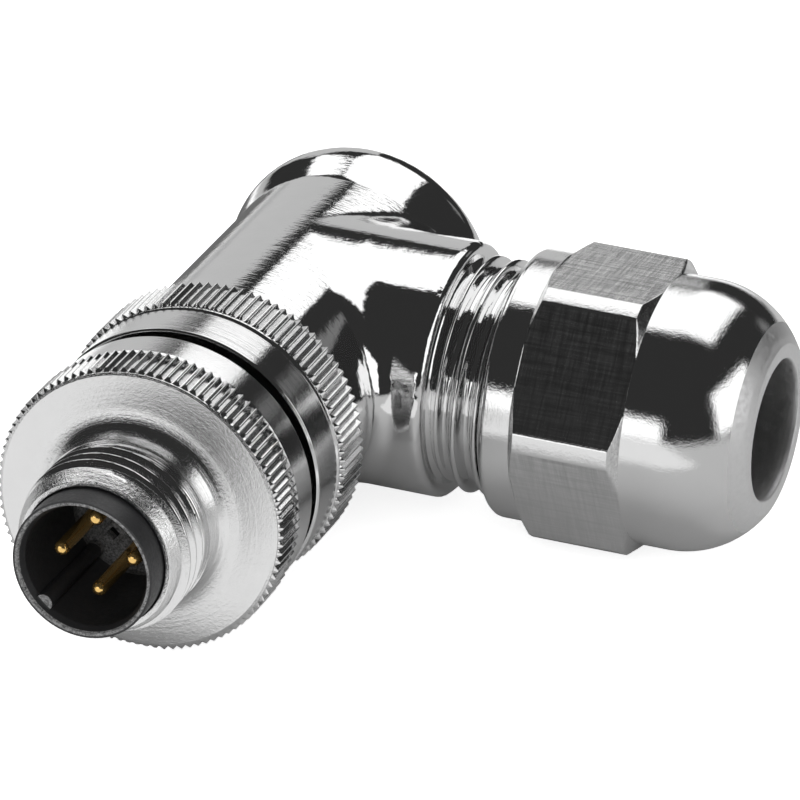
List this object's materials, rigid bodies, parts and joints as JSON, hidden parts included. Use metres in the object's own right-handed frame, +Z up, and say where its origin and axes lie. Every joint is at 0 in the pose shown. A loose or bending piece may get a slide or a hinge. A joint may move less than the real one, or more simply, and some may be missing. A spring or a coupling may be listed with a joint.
{
  "type": "angled circular connector plug",
  "caption": "Right-angle M12 circular cable connector with keyed male pins, a screw coupling, knurled rims and a metal cable gland.",
  "frame": {"origin": "on the mating axis, in the plane of the coupling screw's flange that the mating socket seats on", "axes": "-Y along the mating axis towards the pins, +X along the cable gland towards the cable, +Z up as the part lies"},
  "size_m": [0.0438, 0.0514, 0.02],
  "materials": {
    "plated_metal": "bright nickel plate over turned metal",
    "black_plastic": "moulded glass-filled plastic, fine speckle",
    "contact_gold": "thin gold plate over turned brass",
    "spring_steel": "plain steel",
    "seal_rubber": "moulded rubber",
    "cage_plastic": "moulded nylon"
  },
  "bodies": {
    "elbow": {"elbow_housing": "plated_metal", "shield_ring": "plated_metal", "cable_seal": "seal_rubber"},
    "insert": {"insert_sleeve": "plated_metal", "sleeve_seal": "seal_rubber", "contact_carrier": "black_plastic", "terminal_block": "black_plastic", "contact_pin_1": "contact_gold", "contact_pin_2": "contact_gold", "contact_pin_3": "contact_gold", "contact_pin_4": "contact_gold", "terminal_screw_1": "spring_steel", "terminal_screw_2": "spring_steel", "terminal_screw_3": "spring_steel", "terminal_screw_4": "spring_steel"},
    "coupling": {"coupling_screw": "plated_metal", "snap_ring": "spring_steel"},
    "union": {"union_ring": "plated_metal"},
    "cage": {"clamping_cage": "cage_plastic"},
    "nut": {"gland_nut": "plated_metal"}
  },
  "joints": [
    {"name": "insert_release", "type": "slide", "parent": "elbow", "child": "insert", "axis": [0, -1, 0], "range_m": [0, 0.003]},
    {"name": "coupling_spin", "type": "hinge", "parent": "insert", "child": "coupling", "pos_m": [0, 0, 0], "axis": [0, -1, 0], "continuous": true},
    {"name": "ring_turn", "type": "hinge", "parent": "insert", "child": "union", "pos_m": [0, 0, 0], "axis": [0, -1, 0], "range_deg": [0, 1081]},
    {"name": "cage_press", "type": "slide", "parent": "elbow", "child": "cage", "axis": [-1, 0, 0], "range_m": [0, 0.00225]},
    {"name": "nut_turn", "type": "hinge", "parent": "cage", "child": "nut", "pos_m": [0, 0.0283, 0], "axis": [-1, 0, 0], "range_deg": [0, 541]}
  ],
  "couplings": [
    {"joint": "ring_turn", "follows": "insert_release", "rad_per_m": 6283.2},
    {"joint": "nut_turn", "follows": "cage_press", "rad_per_m": 4188.8}
  ]
}
